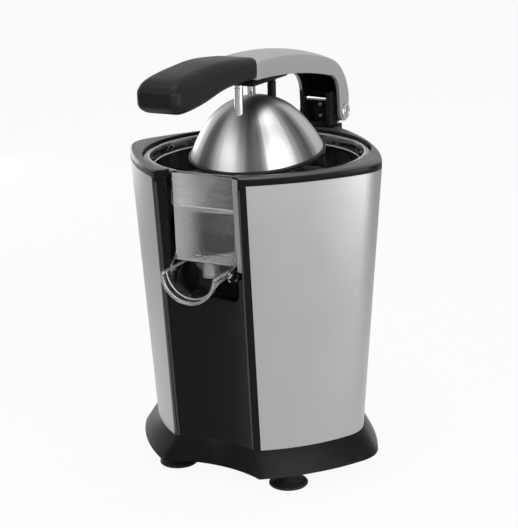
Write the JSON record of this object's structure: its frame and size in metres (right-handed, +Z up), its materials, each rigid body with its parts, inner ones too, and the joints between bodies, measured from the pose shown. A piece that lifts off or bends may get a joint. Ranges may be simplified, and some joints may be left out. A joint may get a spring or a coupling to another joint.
{
  "type": "electric lever citrus juicer",
  "caption": "Citrus juicer with a brushed steel body, a lever that presses a dome onto a motor-driven ribbed reamer, a clear collector and a flip-up spout.",
  "frame": {"origin": "bottom centre of the whole object, on the plane that the feet stand on", "axes": "+Z up, -Y towards the front where the spout and the grip point, +X to the right in the front view"},
  "size_m": [0.2012, 0.2654, 0.3137],
  "materials": {
    "soft_black": "satin",
    "silver_paint": "satin",
    "brushed_steel": "brushed",
    "black_plastic": "satin",
    "gloss_black": "gloss",
    "rubber_black": "matte",
    "chrome": "polished",
    "clear_plastic": "clear",
    "reamer_black": "satin",
    "chassis_grey": "matte",
    "gear_nylon": "satin",
    "machined_steel": "machined",
    "bearing_brass": "machined",
    "motor_metal": "satin"
  },
  "bodies": {
    "base": {"base_skirt": "black_plastic", "bottom_cover": "black_plastic", "bottom_screws": "machined_steel", "foot_front_left": "rubber_black", "foot_front_right": "rubber_black", "foot_rear_left": "rubber_black", "foot_rear_right": "rubber_black", "cord_gland": "rubber_black", "inner_chassis": "chassis_grey", "steel_wrap": "brushed_steel", "front_panel": "gloss_black", "top_collar": "black_plastic", "juice_collector": "clear_plastic", "strainer": "brushed_steel", "upper_bush": "bearing_brass", "lower_bush": "bearing_brass", "idler_pin": "machined_steel", "gearbox_housing": "chassis_grey", "gearbox_cover": "chassis_grey", "gearbox_screws": "machined_steel", "motor_can": "motor_metal", "motor_screws": "machined_steel", "switch_bracket": "machined_steel", "micro_switch": "black_plastic", "return_spring": "machined_steel", "hinge_post": "black_plastic", "stop_bar": "chrome", "post_cover": "soft_black", "post_screws": "machined_steel"},
    "lever": {"lever_arm": "silver_paint", "grip": "soft_black", "hinge_pin": "machined_steel", "hinge_cap_left": "chrome", "hinge_cap_right": "chrome", "rod_plate": "silver_paint", "press_dome": "brushed_steel", "dome_lip": "black_plastic", "press_rod_front": "chrome", "press_rod_rear_left": "chrome", "press_rod_rear_right": "chrome"},
    "spout": {"drip_spout": "clear_plastic"},
    "plunger": {"thrust_cup": "gear_nylon", "switch_button": "gear_nylon"},
    "spindle": {"drive_shaft": "machined_steel", "reamer": "reamer_black"},
    "output_wheel": {"output_gear": "gear_nylon"},
    "idler_wheel": {"idler_gear": "gear_nylon"},
    "rotor": {"motor_rotor": "machined_steel", "motor_pinion": "bearing_brass"}
  },
  "joints": [
    {"name": "lever_hinge", "type": "hinge", "parent": "base", "child": "lever", "pos_m": [0, 0.12176, 0.2465], "axis": [-1, 0, 0], "range_deg": [0, 82]},
    {"name": "spout_flip", "type": "hinge", "parent": "base", "child": "spout", "pos_m": [0, -0.07674, 0.166], "axis": [-1, 0, 0], "range_deg": [0, 40]},
    {"name": "press_slide", "type": "slide", "parent": "base", "child": "plunger", "axis": [0, 0, -1], "range_m": [0, 0.0025], "stiffness_N_per_m": 1500, "springref_m": -0.003, "deforming": ["return_spring"]},
    {"name": "rotor_spin", "type": "hinge", "parent": "base", "child": "rotor", "pos_m": [0.00839, 0.04568, 0.106], "axis": [0, 0, 1], "continuous": true},
    {"name": "idler_spin", "type": "hinge", "parent": "base", "child": "idler_wheel", "pos_m": [0.03031, 0.02376, 0.167], "axis": [0, 0, 1], "continuous": true},
    {"name": "output_spin", "type": "hinge", "parent": "base", "child": "output_wheel", "pos_m": [0, 0.00626, 0.166], "axis": [0, 0, 1], "continuous": true},
    {"name": "spindle_spin", "type": "hinge", "parent": "plunger", "child": "spindle", "pos_m": [0, 0.00626, 0.214], "axis": [0, 0, 1], "continuous": true}
  ],
  "couplings": [
    {"joint": "idler_spin", "follows": "rotor_spin", "ratio": -0.24},
    {"joint": "output_spin", "follows": "rotor_spin", "ratio": 0.06},
    {"joint": "spindle_spin", "follows": "rotor_spin", "ratio": 0.06}
  ]
}
